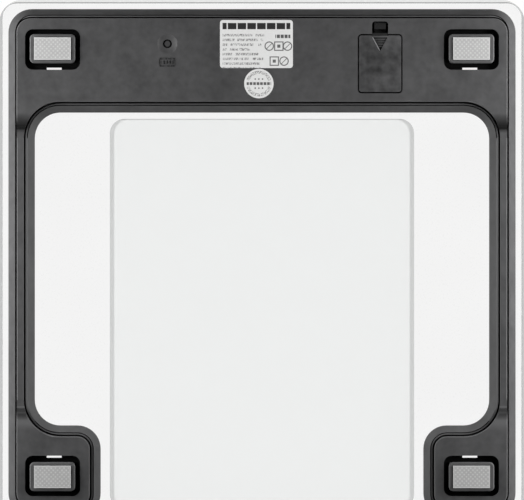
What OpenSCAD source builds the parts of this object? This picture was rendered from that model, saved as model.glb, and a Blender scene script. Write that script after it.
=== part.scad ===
// Glass-topped digital bathroom scale, standing on its feet. Millimetres, +Z up, floor at z = 0.
// The display end points to +Y. The U-shaped chassis hangs under the glass and carries everything else.

/* [Platform] */
// Side of the square glass
glass_side = 300; // [260:5:340]
// Thickness of the glass
glass_t = 6; // [4:0.5:8]
// Corner radius of the glass
glass_r = 8.8; // [4:0.2:20]
// Polished bevel along the glass edges
glass_bevel = 0.6; // [0.3:0.1:1.2]
// Thickness of the white print under the glass
print_t = 0.15; // [0.1:0.05:0.3]
// Bare strip between the print and the glass edge
print_margin = 0.7; // [0.4:0.1:3]
// Strip of print between the clear window and the rear pads
window_side_gap = 5.3; // [1:0.1:30]
// Strip of print between the clear window and the display band
window_front_gap = 3.6; // [1:0.1:20]
// Strip of print between the clear window and the rear edge of the glass
window_rear_gap = 8.4; // [4:0.1:40]
// Corner radius of the clear window
window_r = 8.3; // [2:0.1:12]
// Height of the scale over the floor
total_h = 24; // [22:0.5:30]

/* [Chassis] */
// Strip of glass left outside the chassis
rim_margin = 4; // [2:0.5:10]
// Outer corner radius of the chassis
chassis_r = 13.5; // [9:0.5:20]
// Height of the chassis, from its glue face to the plateau
chassis_h = 13.6; // [13.4:0.2:16]
// Width of the band that holds the display and battery
band_w = 59.6; // [58:0.2:64]
// Width of the side arms
arm_w = 15.2; // [14.8:0.2:20]
// Width of the rear pads
rear_w = 53.1; // [52:0.1:60]
// Length of the rear pads
rear_l = 52.3; // [50:0.1:60]
// Radius where the arms meet the band and the rear pads
inner_r = 14.8; // [8:0.2:20]
// Radius of the rear pads' free corners
rear_r = 13.4; // [8:0.2:16]
// Height of the skirt round the plateaus
skirt_h = 7; // [6:0.2:8]
// Height of the ridge along the arms
arm_h = 8; // [7.4:0.2:10]
// Width of the sloping edge
bevel_w = 3.8; // [3:0.1:4.2]
// Height of the upright lip at the glass
lip_h = 0.8; // [0.4:0.1:1.5]
// Step from the outer edge to the plateau, at the sides
side_step = 5.1; // [4.8:0.1:6]
// Step from the outer edge to the plateau, at the front and rear
end_step = 5.7; // [5:0.1:7]
// Step from the inner edges to the plateau
inner_step = 6.1; // [5.6:0.1:7]
// Width of the groove beside the plateau
groove_w = 1; // [0.6:0.1:1.2]
// Depth of that groove
groove_d = 1.6; // [0.6:0.1:1.8]
// Width of the fine groove at the foot of the sloping edge
fine_groove_w = 0.6; // [0.3:0.1:0.8]
// Depth of the fine groove
fine_groove_d = 1; // [0.4:0.1:1.2]
// Width of the bead between the two grooves
bead_w = 0.7; // [0.4:0.1:1]
// Rounding of the plateau's edge
edge_r = 0.5; // [0.4:0.1:1.5]
// How far the front plateau runs along the arms
front_ramp_l = 8.4; // [6:0.2:14]
// How far the rear plateaus run along the arms
rear_ramp_l = 9.2; // [6:0.2:14]
// Rounding at the top and the foot of those steps
ramp_r = 2.6; // [1.5:0.1:2.7]
// Wall thickness of the chassis
wall_t = 2; // [1.6:0.1:2.4]
// Width of the glue face round the rim
rim_w = 3; // [2.5:0.1:3.4]
// Thickness of the bonding tape
tape_t = 0.5; // [0.3:0.1:1]

/* [Feet] */
// Distance from the middle of a foot to the side of the chassis
foot_side_inset = 25.8; // [25:0.1:27]
// Distance from the middle of a foot to the end of the chassis
foot_end_inset = 23.2; // [22:0.1:24]
// Width of a foot well
well_w = 31.6; // [30:0.2:33]
// Length of a foot well
well_l = 23.3; // [22:0.1:24]
// Corner radius of a foot well
well_r = 4.5; // [2:0.1:6]
// Distance from the middle of a foot to the middle of its well, towards the middle of the scale
well_shift = 0.4; // [0:0.1:1]
// Width of the light slot in a well's floor
slot_w = 8.6; // [6:0.2:10]
// Breadth of that slot
slot_l = 1.4; // [1.2:0.1:2.2]
// Width of a foot
foot_w = 26; // [24:0.2:28]
// Length of a foot
foot_l = 16.7; // [14:0.1:18]
// Corner radius of a foot
foot_r = 2.6; // [1:0.1:4]
// Width of a foot's pad
pad_w = 21.1; // [18:0.1:22]
// Length of a foot's pad
pad_l = 12.8; // [10:0.1:14]
// Thickness of a foot's pad
pad_t = 1.3; // [1:0.1:2]
// Depth to which the pad sits in the foot
pad_sink = 0.5; // [0.3:0.1:0.8]
// Travel of a foot under full load
foot_travel = 0.4; // [0.2:0.1:0.5]

/* [Load cells] */
// Width of a load cell's plate
cell_w = 25.4; // [24:0.2:29]
// Length of a load cell's plate
cell_l = 16.2; // [15.4:0.1:19]
// Thickness of a load cell's plate
cell_t = 1.2; // [0.8:0.1:1.5]
// Width of the tongue that bends
tongue_w = 6; // [5:0.1:6.6]
// Width of the slots round the tongue
cell_slot = 1.4; // [1:0.1:1.6]
// Diameter of a lead's wires
wire_d = 0.9; // [0.6:0.1:1]
// Distance between a lead's wires
wire_pitch = 1; // [0.95:0.05:1.2]

/* [Battery] */
// Middle of the battery door across the scale
door_x = -67.8; // [-72:0.2:-66]
// Distance from the latched edge of the battery door to the front of the chassis
door_inset = 15.4; // [14.4:0.1:16]
// Width of the battery door
door_w = 24.3; // [24:0.1:26]
// Length of the battery door
door_l = 32.7; // [32:0.1:34]
// Thickness of the battery door
door_t = 1.8; // [1.5:0.1:1.9]
// Rounding of the battery door's edge
door_edge_r = 0.3; // [0.1:0.05:0.5]
// Gap round the battery door
door_gap = 0.6; // [0.3:0.05:0.8]
// Diameter of the coin cell
coin_d = 20; // [16:0.5:21]
// Thickness of the coin cell
coin_t = 3.2; // [2:0.1:3.6]

/* [Controls] */
// Middle of the unit button across the scale
button_x = 54.3; // [48:0.1:55]
// Distance from the middle of the unit button to the front of the chassis
button_inset = 20.3; // [19.8:0.1:24]
// Diameter of the unit button
button_d = 3.2; // [2.5:0.1:4]
// Diameter of its hole
button_hole_d = 5.1; // [4.5:0.1:5.5]
// Diameter of the dish round it
dish_d = 11.5; // [8:0.5:13]
// Depth of the dish
dish_depth = 1.6; // [0.6:0.1:1.7]
// Travel of the unit button
button_travel = 0.5; // [0.3:0.1:0.6]

/* [Electronics] */
// Distance from the middle of the display to the front of the chassis
display_inset = 30.5; // [30:0.1:30.8]
// Width of the display's glass
display_w = 70; // [60:1:74]
// Length of the display's glass
display_l = 30; // [24:1:31]
// Thickness of the display's glass
display_t = 2.6; // [2:0.1:2.8]
// Left end of the circuit board
board_left_x = -50; // [-51:0.5:-44]
// Right end of the circuit board
board_right_x = 62; // [60:0.5:68]
// Length of the circuit board, front to rear
board_l = 38; // [36:0.5:38]
// Thickness of the circuit board
board_t = 1.2; // [1:0.1:1.6]

/* [Labels] */
// Width of the rating label
label_w = 41.9; // [30:0.1:44]
// Length of the rating label
label_l = 27.6; // [20:0.1:27.8]
// Middle of the rating label across the scale
label_x = 3.2; // [-12:0.1:12]
// Distance from the middle of the rating label to the front of the chassis
label_inset = 20.5; // [20.4:0.1:20.9]
// Diameter of the round seal
seal_d = 16.9; // [10:0.1:17.4]
// Middle of the round seal across the scale
seal_x = 1.8; // [-30:0.1:30]
// Distance from the middle of the round seal to the front of the chassis
seal_inset = 43.2; // [43:0.1:43.8]
// Thickness of both stickers
sticker_t = 0.12; // [0.08:0.02:0.2]

/* [Hidden] */
$fn = 96;
// Overshoot of cutting bodies past a face
cut = 1;
// Bare strip of the glue face beside the tape
tape_inset = 0.4;
// Gap under wires and strips that lie on a face
lie = 0.02;

chassis_half = glass_side / 2 - rim_margin;
band_y = chassis_half - band_w;
rear_pad_y = rear_l - chassis_half;
front_ramp_y = band_y - front_ramp_l;
rear_ramp_y = rear_pad_y + rear_ramp_l;
print_z = total_h - glass_t - print_t;
deck_z = print_z - tape_t;
skirt_z = deck_z - skirt_h;
arm_z = deck_z - arm_h;
plateau_z = deck_z - chassis_h;
floor_z = plateau_z + wall_t;

// The wiring level: arm channels, well roofs and the circuit board's upper face
channel_h = 4.6;
channel_z = deck_z - channel_h;
channel_step = 5.4;
shell_step = inner_step + wall_t;

// Foot: a neck presses on the load cell's tongue, and a clip holds its pin from above
foot_x = chassis_half - foot_side_inset;
foot_y = chassis_half - foot_end_inset;
foot_in = 1.75;
foot_top_z = plateau_z + foot_in;
foot_rim_z = pad_t - pad_sink;
foot_edge_r = 0.7;
pad_gap = 0.3;
neck_margin = 0.3;
neck_w = tongue_w - 2 * neck_margin;
pin_d = 3;
pin_gap = 0.15;
pin_over = 0.1;
clip_d = 5.6;
clip_t = 0.5;

// Well and load cell: the rails leave room over the plate for the clip to rise
well_roof_t = 1.6;
well_wall_t = 1.8;
well_floor_z = channel_z - well_roof_t;
slot_offset = -0.7;
rail_room = 0.2;
rail_h = clip_t + pin_over + foot_travel + rail_room;
rail_w = 2;
cell_top_z = well_floor_z - rail_h;
cell_z = cell_top_z - cell_t;
cell_r = 1.5;
stake_d = 1.6;
stake_inset = 1.9;
stake_head_d = 3;
stake_head_h = 0.8;
stake_gap = 0.2;
tongue_root_x = 9;
tongue_tip_x = -4;

// Lead route: a pair of bends lifts it from the load cell to the wiring level
gauge_w = 4.4;
gauge_l = 4;
gauge_t = 0.4;
gauge_gap = 0.6;
gauge_x = clip_d / 2 + gauge_gap;
lead_z = cell_top_z + wire_d / 2 + lie;
lead_lift = channel_z - cell_top_z;
lead_bend_r = lead_lift / 2;
lead_start_x = gauge_x + gauge_w;
lead_rise_x = 10;
lead_hole_x = 9.6;
lead_hole_w = 3.3;
lead_hole_l = 4;
lead_turn_r = 3;
lead_lap = 4;
lead_gap = 0.65;
channel_mid_x = chassis_half - arm_w / 2;

// Battery bay: its depth follows the door and the coin cell
door_front_y = chassis_half - door_inset;
door_rear_y = door_front_y - door_l;
door_r = 1.6;
door_inner_z = plateau_z + door_t;
coin_shift = 0.6;
coin_y = (door_front_y + door_rear_y) / 2 - coin_shift;
coin_play = 0.4;
coin_z = door_inner_z + coin_play;
coin_gap = 0.3;
coin_lip = 1;
coin_step = 0.3;
coin_lift = 0.8;
bay_wall_t = 1.4;
bay_roof_t = 1.4;
bay_floor_z = coin_z + coin_t + coin_lift;
hook_w = 5;
hook_reach = 1.8;
hook_t = 1.2;
hook_gap = 0.1;
hook_x = 7;
hook_room = 0.6;
notch_w = 9.2;
notch_l = 7.9;
notch_r = 1.7;
tongue_side_gap = 0.15;
tongue_lap = 1.2;
latch_wall_t = 1.2;
latch_base_t = 1;
latch_gap = 2.3;
latch_tab_w = 6.6;
latch_tab_l = 3.7;
latch_step = 0.9;
latch_h = 4.4;
latch_top_z = plateau_z + latch_h;
latch_room = 0.8;
arrow_w = 8.6;
arrow_l = 8;
arrow_inset = 1.2;
arrow_d = 0.9;
arrow_ribs = 4;
arrow_rib_pitch = 1.3;
arrow_rib_w = 0.5;
arrow_rib_sink = 0.3;

// Battery contacts: spring steel strips that come up through slits in the bay's roof
contact_t = 0.4;
contact_w = 6;
contact_slit = 0.2;
contact_rise = 0.8;
contact_over = 0.4;
contact_x = door_x + coin_d / 2 + contact_t / 2 + lie;
battery_wire_z = channel_z + wire_d / 2 + lie;
contact_top_z = battery_wire_z + contact_over;
ring_slot_gap = 0.5;
minus_w = 4;
minus_l = 14;
minus_bump_d = 5;
minus_tab_w = 2;
minus_tab_offset_x = 6.6;
minus_tab_offset_y = -6.4;
minus_tab_x = door_x + minus_tab_offset_x;
minus_tab_y = coin_y + minus_tab_offset_y;

// Button and switch
button_y = chassis_half - button_inset;
button_sink = 0.75;
button_tip_z = plateau_z + button_sink;
collar_d = 6.6;
collar_t = 1;
guide_wall_t = 1;
guide_gap = 0.4;
guide_h = 2;
switch_side = 6;
switch_h = 3.5;
plunger_d = 3;
plunger_gap = 0.3;
plunger_out = 0.8;
plunger_in = 1.5;
board_under_z = channel_z - board_t;
switch_z = board_under_z - switch_h;
plunger_z = switch_z - plunger_out;
mark_w = 9.6;
mark_l = 5.3;
mark_r = 1;
mark_offset = 10.6;
mark_y = button_y - mark_offset;
mark_d = 0.5;
mark_bar_w = 0.7;
mark_bar_l = 2;
mark_bar_pitch = 1.7;
mark_bars = 4;

// Electronics
display_y = chassis_half - display_inset;
board_mid_x = (board_left_x + board_right_x) / 2;
board_w = board_right_x - board_left_x;
board_r = 1.5;
screw_inset = 3;
screw_d = 2;
screw_gap = 0.025;
screw_head_d = 3.8;
screw_head_h = 1.3;
screw_l = 5;
screw_slot_w = 0.5;
screw_slot_l = 1.9;
screw_slot_d = 0.6;
screw_rear_y = display_y - board_l / 2 + screw_inset;
lead_rear_y = screw_rear_y + screw_head_d / 2 + lead_gap + wire_pitch + wire_d / 2;
boss_d = 5;
display_gap = 0.2;
display_under_z = deck_z - display_t;
frame_wall_t = 1.8;
frame_ledge = 0.8;
frame_r = 2;
zebra_w = 60;
zebra_l = 2.2;
zebra_inset = 2.4;
view_w = 64;
view_l = 24;
view_r = 1.5;
blob_d = 11;
blob_h = 1.4;
blob_x = 8;
crystal_x = -20;
crystal_offset_y = -11.5;
crystal_y = display_y + crystal_offset_y;
crystal_w = 8;
crystal_d = 3;

// Labels
label_y = chassis_half - label_inset;
label_r = 1.8;
seal_y = chassis_half - seal_inset;

// Stiffening ribs across the band: one left of the battery bay, two right of the circuit board
rib_t = 1.4;
rib_drop = 0.5;
rib_end_x = foot_x - well_w / 2 - well_wall_t;
bay_side_x = door_x - door_w / 2 - door_gap - bay_wall_t;
rib_pitch = (rib_end_x - board_right_x) / 3;
rib_xs = [(bay_side_x - rib_end_x) / 2, board_right_x + rib_pitch, board_right_x + 2 * rib_pitch];

/* Outlines: lists of corners [x, y, radius], anticlockwise, with all edges along X or Y. */

function rectangle(w, l, r, x = 0, y = 0) = [
  [x + w / 2, y - l / 2, r],
  [x + w / 2, y + l / 2, r],
  [x - w / 2, y + l / 2, r],
  [x - w / 2, y - l / 2, r]
];

// The chassis in plan, stepped in by three amounts: at the sides, at the ends and along its inner edges
function u_outline(side, end, inner) =
  let (
    x = chassis_half - side,
    y = chassis_half - end,
    rear_x = chassis_half - rear_w + inner,
    rear_y = rear_pad_y - inner,
    arm_x = chassis_half - arm_w + inner,
    front_y = band_y + inner,
    outer = chassis_r - (side + end) / 2,
    free = rear_r - inner,
    tucked = inner_r + inner
  ) [
    [x, -y, outer],
    [x, y, outer],
    [-x, y, outer],
    [-x, -y, outer],
    [-rear_x, -y, free],
    [-rear_x, rear_y, free],
    [-arm_x, rear_y, tucked],
    [-arm_x, front_y, tucked],
    [arm_x, front_y, tucked],
    [arm_x, rear_y, tucked],
    [rear_x, rear_y, free],
    [rear_x, -y, free]
  ];

function before(c, i) = (i + len(c) - 1) % len(c);
function after(c, i) = (i + 1) % len(c);
function way(c, i) =
  let (a = c[i], b = c[after(c, i)]) [sign(b.x - a.x), sign(b.y - a.y)];
function heading(c, i) = atan2(way(c, i).y, way(c, i).x);
function edge_l(c, i) = norm([c[after(c, i)].x - c[i].x, c[after(c, i)].y - c[i].y]);

// 1 where the outline turns left, out round a corner, and -1 where it turns right
function turn(c, i) =
  let (a = way(c, before(c, i)), b = way(c, i)) a.x * b.y - a.y * b.x;
function arc_centre(c, i) =
  [c[i].x, c[i].y] + c[i].z * (way(c, i) - way(c, before(c, i)));

// The sliver between a square corner and its arc
module corner_web(c, i) {
  m = arc_centre(c, i);
  difference() {
    translate([min(c[i].x, m.x), min(c[i].y, m.y)])
      square(c[i].z);
    translate(m)
      circle(r = c[i].z);
  }
}

// A filled outline with every corner rounded
module plan(c) {
  difference() {
    union() {
      polygon([for (k = c) [k.x, k.y]]);
      for (i = [0 : len(c) - 1])
        if (c[i].z > 0 && turn(c, i) < 0) corner_web(c, i);
    }
    for (i = [0 : len(c) - 1])
      if (c[i].z > 0 && turn(c, i) > 0) corner_web(c, i);
  }
}

// Carries a flat profile round an outline: its x is the distance in from the edge, its y is the height
module sweep(c) {
  for (i = [0 : len(c) - 1]) {
    r = c[i].z;
    out = turn(c, i) > 0;
    translate(arc_centre(c, i))
      rotate(out ? heading(c, i) + 180 : heading(c, before(c, i)))
        rotate_extrude(angle = 90)
          translate([r, 0])
            mirror([out ? 1 : 0, 0])
              children();
    translate([c[i].x, c[i].y] + r * way(c, i))
      rotate(heading(c, i))
        rotate([90, 0, 90])
          linear_extrude(edge_l(c, i) - r - c[after(c, i)].z)
            children();
  }
}

// What a rounding of radius r takes off a lower edge at height z
module round_off(r, z) {
  difference() {
    translate([-cut, z - cut])
      square([r + cut, r + cut]);
    translate([r, z + r])
      circle(r = r);
  }
}

// The radius of the ball whose cap has this diameter and height
function cap_radius(d, h) = ((d / 2) ^ 2 + h ^ 2) / (2 * h);

module between(z0, z1) {
  translate([0, 0, z0])
    linear_extrude(z1 - z0)
      children();
}

module rod(x, y, d, z0, z1) {
  translate([x, y, z0])
    cylinder(h = z1 - z0, d = d);
}

// A block centred on (x, y)
module block(x, y, w, l, z0, z1) {
  translate([x - w / 2, y - l / 2, z0])
    cube([w, l, z1 - z0]);
}

// A place with the foot's own axes: x outwards, y towards the nearer end
module at_foot(side, end) {
  mirror([side < 0 ? 1 : 0, 0, 0])
    mirror([0, end < 0 ? 1 : 0, 0])
      translate([foot_x, foot_y, 0])
        children();
}

module at_feet() {
  for (side = [-1, 1], end = [-1, 1])
    at_foot(side, end)
      children();
}

/* Platform */

module glass_platform() {
  color([0.86, 0.93, 0.92, 0.35])
    difference() {
      between(total_h - glass_t, total_h)
        plan(rectangle(glass_side, glass_side, glass_r));
      sweep(rectangle(glass_side, glass_side, glass_r)) {
        polygon([
          [-cut, total_h - glass_t - cut],
          [glass_bevel + cut, total_h - glass_t - cut],
          [-cut, total_h - glass_t + glass_bevel + cut]
        ]);
      }
      sweep(rectangle(glass_side, glass_side, glass_r)) {
        polygon([
          [-cut, total_h + cut],
          [-cut, total_h - glass_bevel - cut],
          [glass_bevel + cut, total_h + cut]
        ]);
      }
    }
}

module back_print() {
  side = glass_side - 2 * print_margin;
  window_w = 2 * (chassis_half - rear_w - window_side_gap);
  front_y = band_y - window_front_gap;
  rear_y = window_rear_gap - glass_side / 2;
  window_l = front_y - rear_y;
  window_y = (front_y + rear_y) / 2;
  color([0.95, 0.95, 0.94])
    between(print_z, print_z + print_t)
      difference() {
        plan(rectangle(side, side, glass_r - print_margin));
        plan(rectangle(window_w, window_l, window_r, 0, window_y));
        plan(rectangle(view_w, view_l, view_r, 0, display_y));
      }
}

module bonding_tape() {
  outer = tape_inset;
  inner = rim_w - tape_inset;
  color([0.08, 0.08, 0.08])
    between(deck_z, print_z)
      difference() {
        plan(u_outline(outer, outer, outer));
        plan(u_outline(inner, inner, inner));
      }
}

/* Chassis */

module skirt() {
  difference() {
    between(skirt_z, deck_z)
      plan(u_outline(0, 0, 0));
    sweep(u_outline(0, 0, 0))
      polygon([
        [-cut, deck_z - lip_h],
        [0, deck_z - lip_h],
        [bevel_w, skirt_z],
        [bevel_w, skirt_z - cut],
        [-cut, skirt_z - cut]
      ]);
    edge_grooves();
  }
}

// A steep groove along the outside of an outline
module groove(outline, w, d) {
  sweep(outline)
    polygon([
      [-w, skirt_z - cut],
      [0, skirt_z - cut],
      [0, skirt_z],
      [-w / 2, skirt_z + d],
      [-w, skirt_z]
    ]);
}

// A groove against the plateau all round, and a fine one beyond a bead, which joins the first along the sides
module edge_grooves() {
  fine_step = groove_w + bead_w;
  merged_step = side_step - (groove_w - fine_groove_w) / 2;
  front_l = band_w + inner_r;
  rear_end_l = rear_l + ramp_r;
  fine_outline = u_outline(merged_step, end_step - fine_step, inner_step - fine_step);
  groove(u_outline(side_step, end_step, inner_step), groove_w, groove_d);
  intersection() {
    groove(fine_outline, fine_groove_w, fine_groove_d);
    union() {
      block(0, chassis_half - front_l / 2, 2 * chassis_half, front_l, skirt_z - 2 * cut, channel_z);
      block(0, rear_end_l / 2 - chassis_half, 2 * chassis_half, rear_end_l, skirt_z - 2 * cut, channel_z);
    }
  }
}

// The air over the arms, where the raised part stands lower, seen along X
function arm_air() = [
  [rear_ramp_y - 2 * ramp_r, plateau_z - cut, 0],
  [front_ramp_y + 2 * ramp_r, plateau_z - cut, 0],
  [front_ramp_y + 2 * ramp_r, plateau_z, 0],
  [front_ramp_y, plateau_z, ramp_r],
  [front_ramp_y, arm_z, ramp_r],
  [rear_ramp_y, arm_z, ramp_r],
  [rear_ramp_y, plateau_z, ramp_r],
  [rear_ramp_y - 2 * ramp_r, plateau_z, 0]
];

module raised_part() {
  raised = u_outline(side_step, end_step, inner_step);
  arm_l = band_y - rear_pad_y - 2 * inner_r;
  arm_mid_y = (band_y + rear_pad_y) / 2;
  difference() {
    between(plateau_z, deck_z)
      plan(raised);
    translate([-chassis_half, 0, 0])
      rotate([90, 0, 90])
        linear_extrude(2 * chassis_half)
          plan(arm_air());
    sweep(raised)
      round_off(edge_r, plateau_z);
    intersection() {
      sweep(raised)
        round_off(edge_r, arm_z);
      block(0, arm_mid_y, 2 * chassis_half, arm_l, arm_z - cut / 2, skirt_z);
    }
  }
}

// The hollow side: a channel all round at the wiring level, deeper under the plateaus
module cavity() {
  front_l = chassis_half - front_ramp_y - 2 * wall_t;
  rear_end_l = chassis_half + rear_ramp_y - 2 * wall_t;
  between(channel_z, deck_z + cut)
    plan(u_outline(channel_step, channel_step, channel_step));
  sweep(u_outline(0, 0, 0))
    polygon([
      [channel_step, channel_z],
      [channel_step, deck_z + cut],
      [rim_w, deck_z + cut],
      [rim_w, deck_z]
    ]);
  intersection() {
    between(floor_z, channel_z + cut)
      plan(u_outline(side_step + wall_t, end_step + wall_t, shell_step));
    union() {
      block(0, chassis_half - front_l / 2, 2 * chassis_half, front_l, floor_z - cut, deck_z);
      block(0, rear_end_l / 2 - chassis_half, 2 * chassis_half, rear_end_l, floor_z - cut, deck_z);
    }
  }
}

module well_boxes() {
  box_w = well_w + 2 * well_wall_t;
  box_l = well_l + 2 * well_wall_t;
  at_feet()
    between(floor_z - cut / 2, channel_z)
      plan(rectangle(box_w, box_l, well_r + well_wall_t, 0, -well_shift));
}

module well_cuts() {
  slot_y = (slot_l - well_l) / 2 - well_shift;
  at_feet() {
    between(plateau_z - cut, well_floor_z)
      plan(rectangle(well_w, well_l, well_r, 0, -well_shift));
    block(slot_offset, slot_y, slot_w, slot_l, well_floor_z - cut, channel_z + cut);
    block(lead_hole_x + lead_hole_w / 2, 0, lead_hole_w, lead_hole_l, well_floor_z - cut, channel_z + cut);
  }
}

module cell_seats() {
  at_feet()
    for (v = [-1, 1]) {
      block(0, v * (cell_l - rail_w) / 2, cell_w, rail_w, cell_top_z, well_floor_z + cut / 2);
      for (u = [-1, 1])
        translate([u * (cell_w / 2 - stake_inset), v * (cell_l / 2 - stake_inset), 0]) {
          rod(0, 0, stake_d, cell_z - stake_head_h, well_floor_z + cut / 2);
          rod(0, 0, stake_head_d, cell_z - stake_head_h, cell_z);
        }
    }
}

module bay_walls() {
  w = door_w + 2 * (door_gap + bay_wall_t);
  rear_y = band_y + inner_step + edge_r;
  front_y = chassis_half - end_step - edge_r;
  block(door_x, (rear_y + front_y) / 2, w, front_y - rear_y, floor_z - cut / 2, bay_floor_z + bay_roof_t);
}

module bay_cuts() {
  opening_l = door_l + 2 * door_gap;
  opening_y = door_rear_y + door_l / 2;
  hook_y = door_rear_y - door_gap - hook_reach - hook_room;
  bay_l = door_front_y + door_gap - hook_y;
  between(plateau_z - cut, floor_z + cut / 2)
    plan(rectangle(door_w + 2 * door_gap, opening_l, door_r + door_gap, door_x, opening_y));
  block(door_x, hook_y + bay_l / 2, door_w + 2 * door_gap, bay_l, floor_z, bay_floor_z);
  between(plateau_z - cut, latch_top_z + latch_room)
    plan(rectangle(notch_w, 2 * notch_l, notch_r, door_x, door_front_y));
}

module coin_ring() {
  ring_z = door_inner_z + door_gap / 2;
  slot_w = contact_w + 2 * ring_slot_gap;
  difference() {
    rod(door_x, coin_y, coin_d + 2 * (coin_gap + bay_wall_t), ring_z, bay_floor_z + cut / 2);
    rod(door_x, coin_y, coin_d + 2 * coin_gap, ring_z - cut, bay_floor_z + cut);
    block(door_x + coin_d / 2, coin_y, coin_d / 2, slot_w, ring_z - cut, bay_floor_z + cut);
  }
}

module contact_slits() {
  slit_w = contact_t + 2 * contact_slit;
  low_z = bay_floor_z - cut / 2;
  block(contact_x, coin_y, slit_w, contact_w + 2 * contact_slit, low_z, channel_z);
  block(minus_tab_x, minus_tab_y, slit_w, minus_tab_w + 2 * contact_slit, low_z, channel_z);
}

module board_places() {
  for (x = [board_left_x + screw_inset, board_right_x - screw_inset], v = [-1, 1])
    translate([x, display_y + v * (board_l / 2 - screw_inset), 0])
      children();
}

module button_guide() {
  inner_d = collar_d + 2 * guide_gap;
  difference() {
    rod(button_x, button_y, inner_d + 2 * guide_wall_t, floor_z - cut / 2, floor_z + guide_h);
    rod(button_x, button_y, inner_d, floor_z, floor_z + guide_h + cut);
  }
}

module button_cuts() {
  dish_r = cap_radius(dish_d, dish_depth);
  translate([button_x, button_y, plateau_z + dish_depth - dish_r])
    sphere(r = dish_r);
  rod(button_x, button_y, button_hole_d, plateau_z - cut, floor_z + cut / 2);
}

module unit_mark() {
  difference() {
    between(plateau_z - cut, plateau_z + mark_d)
      plan(rectangle(mark_w, mark_l, mark_r, button_x, mark_y));
    for (i = [0 : mark_bars - 1])
      translate([button_x + (i - (mark_bars - 1) / 2) * mark_bar_pitch, mark_y, plateau_z])
        block(0, 0, mark_bar_w, mark_bar_l, 0, mark_d + cut);
  }
}

module ribs() {
  rear_y = band_y + inner_step + wall_t / 2;
  front_y = chassis_half - end_step - wall_t / 2;
  for (x = rib_xs)
    block(x, (rear_y + front_y) / 2, rib_t, front_y - rear_y, floor_z - cut / 2, channel_z - rib_drop);
}

module chassis() {
  color([0.2, 0.2, 0.21])
    difference() {
      union() {
        difference() {
          union() {
            difference() {
              union() {
                skirt();
                raised_part();
              }
              cavity();
            }
            well_boxes();
            bay_walls();
            ribs();
          }
          well_cuts();
          bay_cuts();
        }
        cell_seats();
        coin_ring();
        button_guide();
        board_places()
          rod(0, 0, boss_d, floor_z - cut / 2, board_under_z);
      }
      contact_slits();
      button_cuts();
      unit_mark();
      board_places()
        rod(0, 0, screw_d + 2 * screw_gap, board_under_z - screw_l, board_under_z + cut);
    }
}

/* Feet and load cells */

module foot() {
  outline = rectangle(foot_w, foot_l, foot_r);
  color([0.3, 0.3, 0.31]) {
    difference() {
      between(foot_rim_z, foot_top_z)
        plan(outline);
      between(foot_rim_z - cut, pad_t)
        plan(rectangle(pad_w + 2 * pad_gap, pad_l + 2 * pad_gap, foot_r / 2));
      sweep(outline)
        round_off(foot_edge_r, foot_rim_z);
    }
    block(0, 0, neck_w, neck_w, foot_top_z, cell_z);
    rod(0, 0, pin_d, cell_z, cell_top_z + clip_t + pin_over);
  }
}

module foot_pad() {
  color([0.76, 0.76, 0.75])
    block(0, 0, pad_w, pad_l, 0, pad_t);
}

module foot_clip() {
  color([0.75, 0.75, 0.77])
    difference() {
      rod(0, 0, clip_d, cell_top_z, cell_top_z + clip_t);
      rod(0, 0, pin_d + 2 * lie, cell_top_z - cut, cell_top_z + clip_t + cut);
    }
}

// A plate with a tongue cut free on three sides
module load_cell() {
  around_l = tongue_w + 2 * cell_slot;
  color([0.7, 0.71, 0.73])
    between(cell_z, cell_top_z)
      difference() {
        plan(rectangle(cell_w, cell_l, cell_r));
        translate([tongue_tip_x - cell_slot, -around_l / 2])
          difference() {
            square([tongue_root_x - tongue_tip_x + cell_slot, around_l]);
            translate([cell_slot, cell_slot])
              square([tongue_root_x - tongue_tip_x + cell_slot, tongue_w]);
          }
        circle(d = pin_d + 2 * pin_gap);
        for (u = [-1, 1], v = [-1, 1])
          translate([u * (cell_w / 2 - stake_inset), v * (cell_l / 2 - stake_inset)])
            circle(d = stake_d + 2 * stake_gap);
      }
}

module strain_gauge() {
  color([0.85, 0.6, 0.2])
    block(gauge_x + gauge_w / 2, 0, gauge_w, gauge_l, cell_top_z, cell_top_z + gauge_t);
}

module strands() {
  for (i = [-1, 0, 1])
    translate([i * wire_pitch, 0])
      circle(d = wire_d);
}

// A quarter turn to the left of three wires side by side, which start along +X
module left_bend(r, roll) {
  translate([0, r, 0])
    rotate(-90)
      rotate_extrude(angle = 90)
        translate([r, 0])
          rotate(roll)
            strands();
}

// Lays the wires along +X by a list of [length, bend, radius]
module lay(moves, i = 0) {
  if (i < len(moves)) {
    l = moves[i][0];
    bend = moves[i][1];
    r = moves[i][2];
    if (l > 0)
      rotate([90, 0, 90])
        linear_extrude(l)
          strands();
    translate([l, 0, 0]) {
      if (bend == "right") {
        mirror([0, 1, 0])
          left_bend(r, 0);
        translate([r, -r, 0])
          rotate(-90)
            lay(moves, i + 1);
      }
      if (bend == "up") {
        rotate([90, 0, 0])
          left_bend(r, 90);
        translate([r, 0, r])
          rotate([0, -90, 0])
            lay(moves, i + 1);
      }
      if (bend == "down") {
        rotate([-90, 0, 0])
          left_bend(r, 90);
        translate([r, 0, -r])
          rotate([0, 90, 0])
            lay(moves, i + 1);
      }
    }
  }
}

// From the gauge, up through the well's roof and back over it to the board
module front_lead(side) {
  board_x = side > 0 ? board_right_x : -board_left_x;
  run = foot_x + lead_rise_x - board_x + lead_lap;
  color([0.75, 0.15, 0.12])
    at_foot(side, 1)
      translate([lead_start_x, 0, lead_z])
        lay([
          [lead_rise_x - lead_start_x, "up", lead_bend_r],
          [0, "up", lead_bend_r],
          [run, "end", 0]
        ]);
}

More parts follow.
